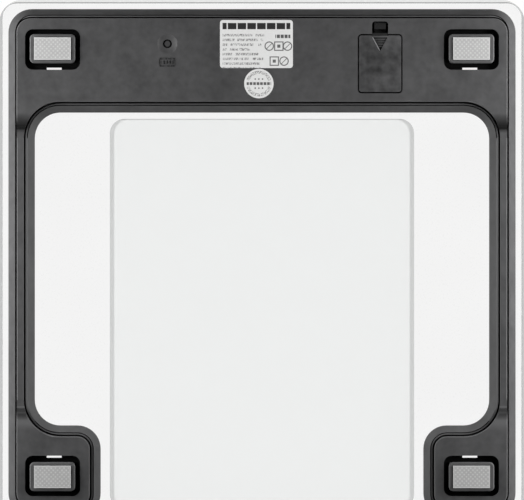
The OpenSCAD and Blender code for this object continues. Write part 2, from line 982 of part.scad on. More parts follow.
// From the gauge, out to the arm's channel, along it and in to the board
module rear_lead(side) {
  board_x = side > 0 ? board_right_x : -board_left_x;
  across = channel_mid_x - foot_x - lead_rise_x - 2 * lead_bend_r - lead_turn_r;
  along = foot_y + lead_rear_y - 2 * lead_turn_r;
  color([0.75, 0.15, 0.12])
    at_foot(side, -1)
      translate([lead_start_x, 0, lead_z])
        lay([
          [lead_rise_x - lead_start_x, "up", lead_bend_r],
          [0, "down", lead_bend_r],
          [across, "right", lead_turn_r],
          [along, "right", lead_turn_r],
          [channel_mid_x - lead_turn_r - board_x + lead_lap, "end", 0]
        ]);
}

/* Battery */

module battery_door() {
  front_y = door_front_y + tongue_lap;
  outline = rectangle(door_w, door_l, door_r, door_x, door_rear_y + door_l / 2);
  color([0.19, 0.19, 0.2])
    difference() {
      union() {
        difference() {
          between(plateau_z, door_inner_z)
            plan(outline);
          sweep(outline)
            round_off(door_edge_r, plateau_z);
        }
        block(door_x, door_front_y, notch_w - 2 * tongue_side_gap, 2 * tongue_lap, plateau_z, door_inner_z);
        translate([door_x + latch_tab_w / 2, front_y, 0])
          rotate([90, 0, -90])
            linear_extrude(latch_tab_w)
              latch_profile();
        for (u = [-1, 1])
          translate([door_x + u * hook_x + hook_w / 2, door_rear_y, 0])
            rotate([90, 0, -90])
              linear_extrude(hook_w)
                hook_profile();
      }
      arrow_cut();
    }
}

// The latch arm from the side, a U that ends in the thumb tab: x to the rear, y up
module latch_profile() {
  tab_x = -latch_gap - latch_tab_l;
  polygon([
    [latch_wall_t, door_inner_z - cut],
    [latch_wall_t, latch_top_z],
    [tab_x, latch_top_z],
    [tab_x, plateau_z + latch_step],
    [tab_x + latch_step, plateau_z + latch_step],
    [tab_x + latch_step, plateau_z + latch_step / 2],
    [-latch_gap, plateau_z + latch_step / 2],
    [-latch_gap, latch_top_z - latch_base_t],
    [0, latch_top_z - latch_base_t],
    [0, door_inner_z - cut]
  ]);
}

// A hinge hook from the side, an L that reaches over the chassis floor: x to the rear, y up
module hook_profile() {
  low_z = floor_z + hook_gap;
  polygon([
    [-hook_reach, door_inner_z - cut],
    [-hook_reach, low_z + hook_t],
    [hook_reach, low_z + hook_t],
    [hook_reach, low_z],
    [0, low_z],
    [0, door_inner_z - cut]
  ]);
}

module arrow_cut() {
  base_y = door_front_y - arrow_inset;
  difference() {
    between(plateau_z - cut, plateau_z + arrow_d)
      polygon([
        [door_x, base_y - arrow_l],
        [door_x + arrow_w / 2, base_y],
        [door_x - arrow_w / 2, base_y]
      ]);
    for (i = [1 : arrow_ribs])
      translate([door_x, base_y - i * arrow_rib_pitch, plateau_z])
        block(0, 0, arrow_w, arrow_rib_w, arrow_rib_sink, arrow_d + cut);
  }
}

// Its wide pole is the lower face, and the narrow one steps up to the minus contact
module coin_cell() {
  color([0.78, 0.78, 0.8])
    union() {
      rod(door_x, coin_y, coin_d, coin_z, coin_z + coin_t - coin_step);
      rod(door_x, coin_y, coin_d - 2 * coin_lip, coin_z, coin_z + coin_t);
    }
}

module contact_plus() {
  color([0.8, 0.78, 0.7])
    block(contact_x, coin_y, contact_t, contact_w, coin_z + contact_rise, contact_top_z);
}

module contact_minus() {
  low_z = bay_floor_z - contact_t;
  arm_x = minus_tab_x - minus_tab_w / 2 + contact_t / 2;
  arm_end_y = minus_tab_y - minus_tab_w / 2;
  arm_l = coin_y - arm_end_y;
  color([0.8, 0.78, 0.7]) {
    block(door_x, coin_y, minus_l, minus_w, low_z, bay_floor_z);
    block(arm_x, arm_end_y + arm_l / 2, minus_tab_w, arm_l, low_z, bay_floor_z);
    block(minus_tab_x, minus_tab_y, contact_t, minus_tab_w, low_z, contact_top_z);
    rod(door_x, coin_y, minus_bump_d, coin_z + coin_t, low_z);
  }
}

module battery_wire(x, y) {
  translate([x, y, battery_wire_z])
    rotate([0, 90, 0])
      cylinder(h = board_left_x + lead_lap - x, d = wire_d);
}

module battery_leads() {
  color([0.7, 0.1, 0.1])
    battery_wire(contact_x + contact_t / 2, coin_y);
  color([0.1, 0.1, 0.1])
    battery_wire(minus_tab_x + contact_t / 2, minus_tab_y);
}

/* Controls */

module unit_button() {
  color([0.28, 0.28, 0.29]) {
    rod(button_x, button_y, button_d, button_tip_z, plunger_z);
    rod(button_x, button_y, collar_d, floor_z, floor_z + collar_t);
  }
}

module tact_switch() {
  hole_end_z = switch_z + plunger_in + button_travel + plunger_gap;
  color([0.12, 0.12, 0.12])
    difference() {
      block(button_x, button_y, switch_side, switch_side, switch_z, board_under_z);
      rod(button_x, button_y, plunger_d + 2 * plunger_gap, switch_z - cut, hole_end_z);
    }
}

module switch_plunger() {
  color([0.55, 0.45, 0.2])
    rod(button_x, button_y, plunger_d, plunger_z, switch_z + plunger_in);
}

/* Electronics */

module circuit_board() {
  color([0.1, 0.35, 0.18])
    difference() {
      between(board_under_z, channel_z)
        plan(rectangle(board_w, board_l, board_r, board_mid_x, display_y));
      board_places()
        rod(0, 0, screw_d + 2 * stake_gap, board_under_z - cut, channel_z + cut);
    }
}

module board_screw(side, end) {
  x = side < 0 ? board_left_x + screw_inset : board_right_x - screw_inset;
  top_z = channel_z + screw_head_h;
  color([0.72, 0.72, 0.74])
    translate([x, display_y + end * (board_l / 2 - screw_inset), 0])
      difference() {
        union() {
          rod(0, 0, screw_head_d, channel_z, top_z);
          rod(0, 0, screw_d, channel_z - screw_l, channel_z);
        }
        block(0, 0, screw_slot_l, screw_slot_w, top_z - screw_slot_d, top_z + cut);
        block(0, 0, screw_slot_w, screw_slot_l, top_z - screw_slot_d, top_z + cut);
      }
}

module display_glass() {
  color([0.62, 0.66, 0.6])
    block(0, display_y, display_w, display_l, display_under_z, display_under_z + display_t);
}

// Holds the display's glass on a ledge, over the zebra strips
module display_frame() {
  inner_w = display_w + 2 * display_gap;
  inner_l = display_l + 2 * display_gap;
  open_w = display_w - 2 * frame_ledge;
  open_l = display_l - 2 * frame_ledge;
  color([0.92, 0.92, 0.9])
    difference() {
      between(channel_z, deck_z)
        plan(rectangle(inner_w + 2 * frame_wall_t, inner_l + 2 * frame_wall_t, frame_r, 0, display_y));
      block(0, display_y, inner_w, inner_l, display_under_z, deck_z + cut);
      block(0, display_y, open_w, open_l, channel_z - cut, deck_z + cut);
    }
}

module zebra_strip(v) {
  color([0.5, 0.5, 0.55])
    block(0, display_y + v * (display_l / 2 - zebra_inset), zebra_w, zebra_l, channel_z, display_under_z);
}

// A drop of resin under the board
module controller_blob() {
  r = cap_radius(blob_d, blob_h);
  side = blob_d + cut;
  color([0.06, 0.06, 0.06])
    intersection() {
      translate([blob_x, display_y, board_under_z - blob_h + r])
        sphere(r = r);
      block(blob_x, display_y, side, side, board_under_z - blob_h - cut, board_under_z);
    }
}

module crystal_can() {
  color([0.76, 0.76, 0.78])
    union() {
      translate([crystal_x - crystal_w / 2, crystal_y, board_under_z - crystal_d / 2])
        rotate([0, 90, 0])
          cylinder(h = crystal_w, d = crystal_d);
      block(crystal_x, crystal_y, crystal_w, crystal_d, board_under_z - crystal_d / 2, board_under_z);
    }
}

/* Stickers */

module rating_label() {
  color([0.86, 0.86, 0.85])
    between(plateau_z - sticker_t, plateau_z)
      plan(rectangle(label_w, label_l, label_r, label_x, label_y));
}

module seal_sticker() {
  color([0.88, 0.88, 0.87])
    rod(seal_x, seal_y, seal_d, plateau_z - sticker_t, plateau_z);
}

/* The repeated parts in their places */

module foot_front_left() at_foot(-1, 1) foot();
module foot_front_right() at_foot(1, 1) foot();
module foot_rear_left() at_foot(-1, -1) foot();
module foot_rear_right() at_foot(1, -1) foot();

module pad_front_left() at_foot(-1, 1) foot_pad();
module pad_front_right() at_foot(1, 1) foot_pad();
module pad_rear_left() at_foot(-1, -1) foot_pad();
module pad_rear_right() at_foot(1, -1) foot_pad();

module clip_front_left() at_foot(-1, 1) foot_clip();
module clip_front_right() at_foot(1, 1) foot_clip();
module clip_rear_left() at_foot(-1, -1) foot_clip();
module clip_rear_right() at_foot(1, -1) foot_clip();

module cell_front_left() at_foot(-1, 1) load_cell();
module cell_front_right() at_foot(1, 1) load_cell();
module cell_rear_left() at_foot(-1, -1) load_cell();
module cell_rear_right() at_foot(1, -1) load_cell();

module gauge_front_left() at_foot(-1, 1) strain_gauge();
module gauge_front_right() at_foot(1, 1) strain_gauge();
module gauge_rear_left() at_foot(-1, -1) strain_gauge();
module gauge_rear_right() at_foot(1, -1) strain_gauge();

module lead_front_left() front_lead(-1);
module lead_front_right() front_lead(1);
module lead_rear_left() rear_lead(-1);
module lead_rear_right() rear_lead(1);

module screw_front_left() board_screw(-1, 1);
module screw_front_right() board_screw(1, 1);
module screw_rear_left() board_screw(-1, -1);
module screw_rear_right() board_screw(1, -1);

module zebra_front() zebra_strip(1);
module zebra_rear() zebra_strip(-1);

/* Nodes */

glass_platform();
back_print();
bonding_tape();
chassis();
foot_front_left();
foot_front_right();
foot_rear_left();
foot_rear_right();
pad_front_left();
pad_front_right();
pad_rear_left();
pad_rear_right();
clip_front_left();
clip_front_right();
clip_rear_left();
clip_rear_right();
cell_front_left();
cell_front_right();
cell_rear_left();
cell_rear_right();
gauge_front_left();
gauge_front_right();
gauge_rear_left();
gauge_rear_right();
lead_front_left();
lead_front_right();
lead_rear_left();
lead_rear_right();
battery_door();
coin_cell();
contact_plus();
contact_minus();
battery_leads();
unit_button();
tact_switch();
switch_plunger();
circuit_board();
screw_front_left();
screw_front_right();
screw_rear_left();
screw_rear_right();
display_glass();
display_frame();
zebra_front();
zebra_rear();
controller_blob();
crystal_can();
rating_label();
seal_sticker();
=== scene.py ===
import bpy
import math
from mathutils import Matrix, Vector


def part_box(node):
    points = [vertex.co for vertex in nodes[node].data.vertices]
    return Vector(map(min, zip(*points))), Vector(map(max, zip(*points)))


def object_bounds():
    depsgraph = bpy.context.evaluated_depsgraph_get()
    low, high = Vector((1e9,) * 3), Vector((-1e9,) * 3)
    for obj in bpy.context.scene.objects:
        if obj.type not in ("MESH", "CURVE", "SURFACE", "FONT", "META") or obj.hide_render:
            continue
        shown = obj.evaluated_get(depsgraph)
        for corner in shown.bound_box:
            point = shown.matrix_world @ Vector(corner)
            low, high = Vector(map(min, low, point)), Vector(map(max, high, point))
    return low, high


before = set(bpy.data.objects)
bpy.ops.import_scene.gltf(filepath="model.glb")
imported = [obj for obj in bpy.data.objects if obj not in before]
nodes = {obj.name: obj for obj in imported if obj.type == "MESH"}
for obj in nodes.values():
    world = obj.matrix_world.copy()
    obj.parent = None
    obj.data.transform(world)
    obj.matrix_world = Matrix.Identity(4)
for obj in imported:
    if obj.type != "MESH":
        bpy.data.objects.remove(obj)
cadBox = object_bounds()
corners = ["front_left", "front_right", "rear_left", "rear_right"]


class Wire:
    # a socket that sums can be written with
    def __init__(self, finish, socket):
        self.finish = finish
        self.socket = socket

    def maths(self, operation, *values):
        return self.finish.add("ShaderNodeMath", {"operation": operation}, dict(enumerate(values)))

    def __add__(self, other):
        return self.maths("ADD", self, other)

    def __sub__(self, other):
        return self.maths("SUBTRACT", self, other)

    def __rsub__(self, other):
        return self.maths("SUBTRACT", other, self)

    def __mul__(self, other):
        return self.maths("MULTIPLY", self, other)

    def __truediv__(self, other):
        return self.maths("DIVIDE", self, other)

    def __lt__(self, other):
        return self.maths("LESS_THAN", self, other)

    def __gt__(self, other):
        return self.maths("GREATER_THAN", self, other)

    __radd__ = __add__
    __rmul__ = __mul__

    def power(self, other):
        return self.maths("POWER", self, other)

    def most(self, other):
        return self.maths("MAXIMUM", self, other)

    def least(self, other):
        return self.maths("MINIMUM", self, other)

    def sine(self):
        return self.maths("SINE", self)

    def size(self):
        return self.maths("ABSOLUTE", self)

    # a sine wave along a length, with one turn to each pitch
    def wave(self, pitch):
        return (self * (2 * math.pi / pitch)).sine()

    # 0 up to low, 1 from high on, and a straight slope between
    def ramp(self, low, high):
        values = {"Value": self, "From Min": low, "From Max": high}
        return self.finish.add("ShaderNodeMapRange", {"clamp": True}, values)


class Finish:
    # one material: its Principled shader's plain values come first, patterns are fed in after
    def __init__(self, name, colour, roughness, **plain):
        self.material = bpy.data.materials.new(name)
        self.material.use_nodes = True
        self.tree = self.material.node_tree
        self.shader = self.tree.nodes["Principled BSDF"]
        self.colour = (*colour, 1)
        self.feed("Base Color", self.colour)
        self.feed("Roughness", roughness)
        for label, value in plain.items():
            self.feed(label.replace("_", " "), value)

    def add(self, kind, settings, values, output=0):
        made = self.tree.nodes.new(kind)
        for key, value in settings.items():
            setattr(made, key, value)
        for key, value in values.items():
            self.join(made.inputs[key], value)
        return Wire(self, made.outputs[output])

    def join(self, socket, value):
        if isinstance(value, Wire):
            self.tree.links.new(value.socket, socket)
        else:
            socket.default_value = value

    def feed(self, label, value):
        self.join(self.shader.inputs[label], value)

    def place(self):
        return self.add("ShaderNodeTexCoord", {}, {}, "Object")

    def along(self, point=None):
        split = self.add("ShaderNodeSeparateXYZ", {}, {0: point or self.place()})
        return [Wire(self, s) for s in split.socket.node.outputs]

    # 1 on faces that lie flat, 0 on upright walls
    def facing(self):
        return self.along(self.add("ShaderNodeTexCoord", {}, {}, "Normal"))[2].size()

    # 1 inside a box in plan, given by its middle and half sizes
    def inPlan(self, x, y, middle, half):
        return ((x - middle[0]).size() < half[0]) * ((y - middle[1]).size() < half[1])

    # how far a point in plan lies outside a box with rounded corners
    def outside(self, x, y, middle, half, corner):
        overX = (x - middle[0]).size() - (half[0] - corner)
        overY = (y - middle[1]).size() - (half[1] - corner)
        return radius(overX.most(0), overY.most(0)) + overX.most(overY).least(0) - corner

    # how far a point in plan lies inside a node's box, along x and along y
    def inFrom(self, name):
        low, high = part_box(name)
        x, y, z = self.along()
        middle, half = (low + high) / 2, (high - low) / 2
        return half.x - (x - middle.x).size(), half.y - (y - middle.y).size()

    # blotches of about this size, in metres, as a number from 0 to 1
    def cloud(self, size, detail=2.0, stretch=(1, 1, 1)):
        point = self.add("ShaderNodeVectorMath", {"operation": "MULTIPLY"}, {0: self.place(), 1: stretch})
        return self.add("ShaderNodeTexNoise", {}, {"Vector": point, "Scale": 1 / size, "Detail": detail})

    # noise read at a point made of separate numbers
    def noiseAt(self, detail, *numbers):
        point = self.add("ShaderNodeCombineXYZ", {}, dict(enumerate(numbers)))
        return self.add("ShaderNodeTexNoise", {}, {"Vector": point, "Scale": 1.0, "Detail": detail})

    # a mix of two colours, whose sockets on the node are 6, 7 and, coming out, 2
    def blend(self, share, first, second):
        mix = {"data_type": "RGBA"}
        return self.add("ShaderNodeMix", mix, {0: share, 6: first, 7: second}, 2)

    def tone(self, amount):
        return (*[c * amount for c in self.colour[:3]], 1)

    def bump(self, height, depth, distance=0.0001):
        wire = self.add("ShaderNodeBump", {}, {"Height": height, "Strength": depth, "Distance": distance})
        self.feed("Normal", wire)

    def wear(self, obj):
        for s in obj.material_slots:
            s.material = self.material
        if not obj.material_slots:
            obj.data.materials.append(self.material)


def dress(finish, *names):
    for n in names:
        finish.wear(nodes[n])


def radius(x, y):
    return (x * x + y * y).power(0.5)


# 1 where any of the masks is
def anyOf(masks):
    whole, *rest = masks
    for mask in rest:
        whole = whole.most(mask)
    return whole


# where the slope of a cloud's contrast starts and ends
contrast = (0.3, 0.7)

# Moulded plastics: a mottled tone, a spark-eroded grain and slow waves where the melt flowed
plastic = {
    "chassis": {
        "colour": (0.057, 0.057, 0.058), "roughness": 0.48, "gloss": 0.2,
        "mottle": 0.3, "grain": 0.00022, "depth": 0.16,
    },
    # the door's pale tone is the tone of its painted highlight
    "door": {
        "colour": (0.05, 0.05, 0.051), "roughness": 0.5, "gloss": 0.2,
        "mottle": 0.75, "grain": 0.00026, "depth": 0.22, "pale": 4.5,
    },
    "foot": {
        "colour": (0.066, 0.066, 0.067), "roughness": 0.5, "gloss": 0.4,
        "mottle": 0.2, "grain": 0.00018, "depth": 0.12,
    },
    "button": {
        "colour": (0.066, 0.066, 0.068), "roughness": 0.42, "gloss": 0.4,
        "mottle": 0.1, "grain": 0.00018, "depth": 0.08,
    },
    "whiteFrame": {
        "colour": (0.8, 0.8, 0.78), "roughness": 0.45, "gloss": 0.5,
        "mottle": 0.05, "grain": 0.0003, "depth": 0.06,
    },
    "switchBody": {
        "colour": (0.03, 0.03, 0.031), "roughness": 0.38, "gloss": 0.5,
        "mottle": 0.2, "grain": 0.0002, "depth": 0.1,
    },
    "plunger": {
        "colour": (0.33, 0.23, 0.09), "roughness": 0.36, "gloss": 0.5,
        "mottle": 0.15, "grain": 0.0002, "depth": 0.08,
    },
}
# each cloud's size in metres and its share of the mottle
mould = {
    "broad": (0.016, 0.45), "streak": (0.01, 0.3), "fine": (0.004, 0.25), "streakStretch": (1, 0.2, 1),
    "roughContrast": (0.2, 0.8), "roughSpread": 0.1,
    "flow": 0.009, "flowStretch": (1, 0.35, 1), "grainShare": 0.25,
}


# wear gives two masks on the finish: where painted shade darkens it, and where painted highlights pale it
def mouldedPlastic(name, wear=None):
    v = plastic[name]
    f = Finish(name, v["colour"], v["roughness"], Specular_IOR_Level=v["gloss"])
    clouds = {
        "broad": f.cloud(mould["broad"][0], 3),
        "streak": f.cloud(mould["streak"][0], 3, mould["streakStretch"]),
        "fine": f.cloud(mould["fine"][0], 4),
    }
    broad, streak, fine = [clouds[n].ramp(*contrast) * mould[n][1] for n in clouds]
    tone = f.blend(broad + streak + fine, f.tone(1 - v["mottle"]), f.tone(1 + v["mottle"]))
    spread = mould["roughSpread"]
    rough = clouds["fine"].ramp(*mould["roughContrast"]) * spread + (v["roughness"] - spread / 2)
    if wear:
        shadeMask, highlightMask = wear(f)
        tone = f.blend(highlightMask, tone, f.tone(v.get("pale", paintedLight["pale"])))
        tone = f.blend(shadeMask, tone, f.tone(paintedLight["shadeTone"]))
        rough = rough.most(shadeMask * paintedLight["shadeRoughness"])
    f.feed("Base Color", tone)
    f.feed("Roughness", rough)
    grain = f.cloud(v["grain"], 1)
    flow = f.cloud(mould["flow"], 2, mould["flowStretch"])
    f.bump(grain * mould["grainShare"] + flow, v["depth"])
    return f


# Painted shade lies in the grooves, the wells, the seams and the two steps; painted highlights make edges
# paler
chassisLow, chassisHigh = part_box("chassis")
doorLow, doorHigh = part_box("battery_door")
buttonLow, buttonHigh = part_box("unit_button")
footLow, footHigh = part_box("foot_front_right")
plateau = chassisLow.z
# tones and roughness of the painted shade and the painted highlights
paintedLight = {"shadeTone": 0.1, "pale": 1.6, "shadeRoughness": 0.95, "steep": 0.4, "edge": (0.4, 0.97)}
groove = {"top": plateau + 0.0066, "bottom": plateau + 0.0084, "bead": 0.0001}
well = {"half": (0.0160, 0.0122), "deep": (plateau + 0.0002, plateau + 0.0016)}
seam = {
    "high": chassisHigh.y - 0.0154, "low": chassisHigh.y - 0.0481, "corner": 0.0016,
    "gap": 0.0006, "paintedShade": 0.0001, "lip": plateau + 0.0003,
}
bayTop = plateau + 0.0004
stepTop = groove["top"] - 0.0005
frontStep = {"y": chassisHigh.y - 0.0680, "fade": 0.0078, "low": (0.0036, 0.0012), "strength": 1.0}
rearStep = {"y": chassisLow.y + 0.0611, "fade": 0.0055, "low": (0.0032, 0.0004), "strength": 0.8}
crest = {"rise": (0.0025, 0.0060), "fall": (0.0115, 0.0075), "top": plateau + 0.0005}
rounds = {"low": plateau + 0.0005, "high": plateau + 0.0056, "near": 0.0005, "dish": 0.0062}
arrow = {
    "halfWidth": 0.0043, "length": 0.008, "inset": 0.0012, "line": 0.00032, "drawn": 0.95,
    "deep": plateau + 0.0004, "floor": plateau + 0.0012, "paintedShade": 0.6,
}
latch = {"halfWidth": 0.005, "rim": 0.0004, "clear": 0.001}
doorShade = {"rim": 0.9, "inside": 0.3, "depth": (plateau + 0.0015, plateau + 0.0025)}
buttonRim = (plateau + 0.0004, plateau + 0.001)
mark = {
    "offset": 0.0106, "halfWidth": 0.0041, "strokes": 0.002, "thick": 0.00055,
    "letter": 0.0009, "stretch": (1, 0.3, 1), "contrast": (0.4, 0.55), "faint": 0.25, "strong": 0.4,
}


# painted shade that deepens towards a step, from its high side, and ends soon after it
def underStep(past, step):
    near = 1 - past.ramp(0, step["fade"])
    return (1 - (1 - near) * (1 - near)) * past.ramp(-step["low"][0], -step["low"][1]) * step["strength"]


# middle and half sizes of the door's plate, without its latch and tongue
def doorPlate():
    middle = ((doorLow.x + doorHigh.x) / 2, (seam["low"] + seam["high"]) / 2)
    return middle, ((doorHigh.x - doorLow.x) / 2, (seam["high"] - seam["low"]) / 2)


def chassisShadeAndHighlights(f):
    x, y, z = f.along()
    facing = f.facing()
    # painted shade in the grooves, the wells, the seam round the door and its bay
    inGroove = (facing < paintedLight["steep"]) * (z > groove["top"]) * (z < groove["bottom"])
    inWell = f.inPlan(x.size(), y.size(), (footLow + footHigh) / 2, well["half"]) * z.ramp(*well["deep"])
    offPlate = f.outside(x, y, *doorPlate(), seam["corner"])
    bySeam = (offPlate < seam["gap"] + seam["paintedShade"]) * (z < seam["lip"])
    inBay = f.inPlan(x, y, (doorLow + doorHigh) / 2, (doorHigh - doorLow) / 2) * (z > bayTop)
    behind = rearStep["y"] - y
    steps = underStep(y - frontStep["y"], frontStep).most(underStep(behind, rearStep)) * (z < stepTop)
    dish = (buttonLow + buttonHigh) / 2
    # painted dark strokes for the shade in the mark's letters
    stroke = ((y - (dish.y - mark["offset"])).size() - mark["strokes"]).size() < mark["thick"]
    letters = f.cloud(mark["letter"], 1, mark["stretch"]).ramp(*mark["contrast"])
    inMark = stroke * ((x - dish.x).size() < mark["halfWidth"]) * (letters * mark["strong"] + mark["faint"])
    offDish = (x - dish.x).size().most((y - dish.y).size()) > rounds["dish"]
    # painted highlights on the rounded edges, along the bead and on the crest behind the rear step
    rounded = (facing > paintedLight["edge"][0]) * (facing < paintedLight["edge"][1]) * offDish
    roundEdge = rounded * (z < rounds["low"]).most((z - rounds["high"]).size() < rounds["near"])
    bead = (z - groove["top"]).size() < groove["bead"]
    onCrest = behind.ramp(*crest["rise"]) * behind.ramp(*crest["fall"]) * (z < crest["top"])
    return anyOf([inGroove, inWell, bySeam, inBay, steps, inMark]), anyOf([roundEdge, bead, onCrest])


def doorShadeAndHighlight(f):
    x, y, z = f.along()
    middle, half = doorPlate()
    # painted shade along the seam round the plate, inside it and in the arrow
    offLatch = (y < seam["high"] - latch["rim"]).most((x - middle[0]).size() > latch["halfWidth"])
    rim = f.outside(x, y, middle, half, seam["corner"]) * offLatch
    inArrow = (z > arrow["deep"]) * (z < arrow["floor"]) * (y < seam["high"] - latch["clear"])
    inside = z.ramp(*doorShade["depth"])
    onRim = (rim > -seam["paintedShade"]) * doorShade["rim"]
    shadeMask = anyOf([onRim, inside * doorShade["inside"], inArrow * arrow["paintedShade"]])
    # a painted highlight line along one side of the arrow, on the outer face alone
    down = seam["high"] - arrow["inset"] - y
    fromSide = x - (middle[0] + arrow["halfWidth"]) + down * (arrow["halfWidth"] / arrow["length"])
    along = (down > 0) * (down < arrow["length"] * arrow["drawn"])
    line = (fromSide.size() < arrow["line"]) * along * (z < arrow["floor"])
    return shadeMask * (1 - line), line


# painted shade on the button deeper in than its face, and no highlight
def buttonShade(f):
    return f.along()[2].ramp(*buttonRim), 0.0


dress(mouldedPlastic("chassis", chassisShadeAndHighlights), "chassis")
dress(mouldedPlastic("door", doorShadeAndHighlight), "battery_door")
dress(mouldedPlastic("foot"), *["foot_" + c for c in corners])
dress(mouldedPlastic("button", buttonShade), "unit_button")
dress(mouldedPlastic("whiteFrame"), "display_frame")
dress(mouldedPlastic("switchBody"), "tact_switch")
dress(mouldedPlastic("plunger"), "switch_plunger")
print("plastics done")

# Glass and the enamel print on its lower face
glass = {"tint": (0.975, 0.985, 0.98), "ior": 1.5, "ground": (0.86, 0.87, 0.867), "rim": 0.0007}
enamel = {
    "colour": (0.88, 0.88, 0.878), "roughness": 0.3, "roughSpread": 0.08, "inside": 0.77,
    "cloud": (0.05, 0.7), "speck": (0.0008, 0.3), "tones": (0.985, 1.005), "depth": 0.03,
}


# clear faces, and ground edges that are greyer
def clearGlass():
    f = Finish("glass", glass["tint"], 0.0, Transmission_Weight=1.0, IOR=glass["ior"])
    x, y, z = f.along()
    rim = x.size().most(y.size()) > (cadBox[1].x - glass["rim"])
    f.feed("Base Color", f.blend(rim, f.colour, (*glass["ground"], 1)))
    return f


# the print's inner faces are darker: they show from above, where the print's upper face meets the glass's,
# and their darker colour is painted shade against the shadowless wash's light, which gathers inside the thin
# print
def whiteEnamel():
    f = Finish("enamel", enamel["colour"], enamel["roughness"])
    cloud = f.cloud(enamel["cloud"][0], 3).ramp(*contrast)
    grain = f.cloud(enamel["speck"][0], 2)
    speck = grain.ramp(*contrast)
    shade = cloud * enamel["cloud"][1] + speck * enamel["speck"][1]
    outer = f.blend(shade, *[f.tone(amount) for amount in enamel["tones"]])
    inside = f.add("ShaderNodeNewGeometry", {}, {}, "Backfacing")
    f.feed("Base Color", f.blend(inside, outer, f.tone(enamel["inside"])))
    f.feed("Roughness", speck * enamel["roughSpread"] + (enamel["roughness"] - enamel["roughSpread"] / 2))
    f.bump(grain, enamel["depth"])
    return f


dress(clearGlass(), "glass_platform")
dress(whiteEnamel(), "back_print")
nodes["glass_platform"].visible_shadow = False  # so that the lamps reach the paper behind the clear window
print("platform done")

# Foot pads: light grey, with a fine diagonal weave of dots and brighter moulded edges
pad = {
    "colour": (0.36, 0.36, 0.357), "pitch": 0.00248, "roughness": 0.72, "edge": (0.0003, 0.0008),
    "dot": (0.2, 1.8), "dotShare": 0.75, "cloud": 0.0035, "cloudContrast": (0.25, 0.75),
    "tones": (0.88, 1.35), "edgeTone": 1.3, "depth": 0.35,
}


def padRubber(corner):
    name = "pad_" + corner
    f = Finish(name, pad["colour"], pad["roughness"])
    x, y, z = f.along()
    dot = ((x + y).wave(pad["pitch"]) + (x - y).wave(pad["pitch"])).ramp(*pad["dot"])
    cloud = f.cloud(pad["cloud"], 3).ramp(*pad["cloudContrast"])
    inX, inY = f.inFrom(name)
    shade = dot * pad["dotShare"] + cloud * (1 - pad["dotShare"])
    tone = f.blend(shade, *[f.tone(amount) for amount in pad["tones"]])
    f.feed("Base Color", f.blend(inX.least(inY).ramp(*pad["edge"]), f.tone(pad["edgeTone"]), tone))
    f.bump(dot, pad["depth"])
    dress(f, name)


for c in corners:
    padRubber(c)
print("pads done")

# Metals
metal = {
    "cellSteel": {"colour": (0.6, 0.6, 0.62), "roughness": 0.34, "lines": (60, 1, 1)},
    "clipSteel": {"colour": (0.64, 0.64, 0.66), "roughness": 0.25, "lines": (1, 40, 1)},
    "coinSteel": {"colour": (0.66, 0.66, 0.67), "roughness": 0.2, "lines": (1, 50, 1)},
    "contactSteel": {"colour": (0.68, 0.66, 0.6), "roughness": 0.28, "lines": (1, 60, 1)},
    "screwSteel": {"colour": (0.62, 0.62, 0.64), "roughness": 0.3, "lines": (1, 1, 30)},
    "canSteel": {"colour": (0.66, 0.66, 0.68), "roughness": 0.24, "lines": (1, 30, 30)},
}


# fine lines along the way a part was rolled or drawn, and faint stains
brush = {
    "lines": 0.004, "roughSpread": 0.14, "polish": 0.05, "depth": 0.08,
    "stain": 0.006, "stainContrast": (0.35, 0.75), "stainTone": 0.86,
}


def brushedMetal(name):
    v = metal[name]
    f = Finish(name, v["colour"], v["roughness"], Metallic=1.0)
    lines = f.cloud(brush["lines"], 3, v["lines"])
    stain = f.cloud(brush["stain"], 3).ramp(*brush["stainContrast"])
    f.feed("Base Color", f.blend(stain, f.tone(1.0), f.tone(brush["stainTone"])))
    f.feed("Roughness", lines.ramp(*contrast) * brush["roughSpread"] + (v["roughness"] - brush["polish"]))
    f.bump(lines, brush["depth"])
    return f


dress(brushedMetal("cellSteel"), *["cell_" + c for c in corners])
dress(brushedMetal("clipSteel"), *["clip_" + c for c in corners])
dress(brushedMetal("coinSteel"), "coin_cell")
dress(brushedMetal("contactSteel"), "contact_plus", "contact_minus")
dress(brushedMetal("screwSteel"), *["screw_" + c for c in corners])
dress(brushedMetal("canSteel"), "crystal_can")
print("metals done")

# Foam tape, wires, resin and zebra rubber
soft = {
    "tapeFoam": {"colour": (0.035, 0.035, 0.036), "roughness": 0.85, "grain": 0.0004, "depth": 0.5},
    "wireCover": {"colour": (0.46, 0.035, 0.03), "roughness": 0.45, "grain": 0.0006, "depth": 0.08},
    "resin": {"colour": (0.012, 0.012, 0.012), "roughness": 0.24, "grain": 0.001, "depth": 0.06},
}
softMottle = {"tones": (0.8, 1.2), "roughSpread": 0.1}


def softFinish(name):
    v = soft[name]
    f = Finish(name, v["colour"], v["roughness"])
    grain = f.cloud(v["grain"], 2)
    shade = grain.ramp(*contrast)
    spread = softMottle["roughSpread"]
    f.feed("Base Color", f.blend(shade, *[f.tone(amount) for amount in softMottle["tones"]]))
    f.feed("Roughness", shade * spread + (v["roughness"] - spread / 2))
    f.bump(grain, v["depth"])
    return f


dress(softFinish("tapeFoam"), "bonding_tape")
dress(softFinish("wireCover"), "battery_leads", *["lead_" + c for c in corners])
dress(softFinish("resin"), "controller_blob")
print("soft finishes done")

# Strain gauges: an amber film with the folded line of its foil
gauge = {
    "film": (0.62, 0.36, 0.08), "foil": (0.5, 0.47, 0.42), "roughness": 0.3,
    "pitch": 0.0006, "margin": 0.0008, "depth": 0.1,
}


